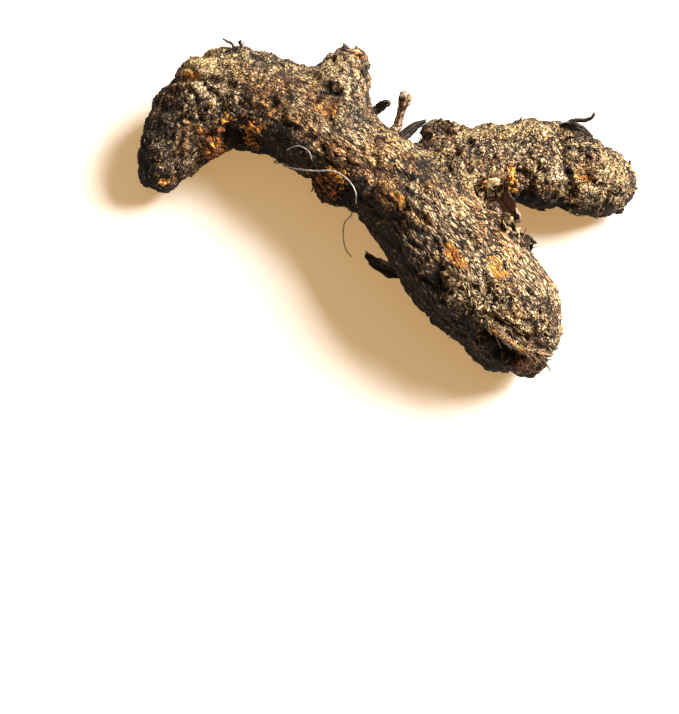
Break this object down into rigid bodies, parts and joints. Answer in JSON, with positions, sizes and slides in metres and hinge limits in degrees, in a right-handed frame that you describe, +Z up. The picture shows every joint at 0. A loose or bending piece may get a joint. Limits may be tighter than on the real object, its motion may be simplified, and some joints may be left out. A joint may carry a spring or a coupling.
{
  "type": "turmeric root",
  "caption": "Dried turmeric rhizome: a bent wrinkled stem with a side finger, a nub and a bud, carrying dry rootlets and scale leaves, lying on a surface.",
  "frame": {"origin": "middle of the footprint, on the surface that the root rests on", "axes": "+X from the stem's hooked end towards the finger's tip, +Y from the stem's lower end towards the nub, +Z up"},
  "size_m": [0.0962, 0.0656, 0.0235],
  "materials": {
    "bark": "rough, wrinkled dry bark: dark brown furrows, tan ridges and orange scars",
    "dry_shoot": "dry fibrous brown",
    "rootlet": "dry dark fibre",
    "hair_root": "pale dry hair-like fibre",
    "scale_leaf": "papery dry brown leaf base"
  },
  "bodies": {
    "root": {"rhizome": "bark", "shoot_stub": "dry_shoot", "neck_stub": "dry_shoot", "finger_rootlet": "rootlet", "crown_fibre_long": "rootlet", "crown_fibre_short": "rootlet", "hair_root_long": "hair_root", "hair_root_short": "hair_root", "hair_root_hanging": "hair_root", "shoot_collar_scale": "scale_leaf", "axil_sheath": "scale_leaf", "axil_scale_upper": "scale_leaf", "axil_scale_lower": "scale_leaf", "finger_scale": "rootlet", "rim_scale": "rootlet", "flank_scale": "rootlet"}
  },
  "joints": []
}
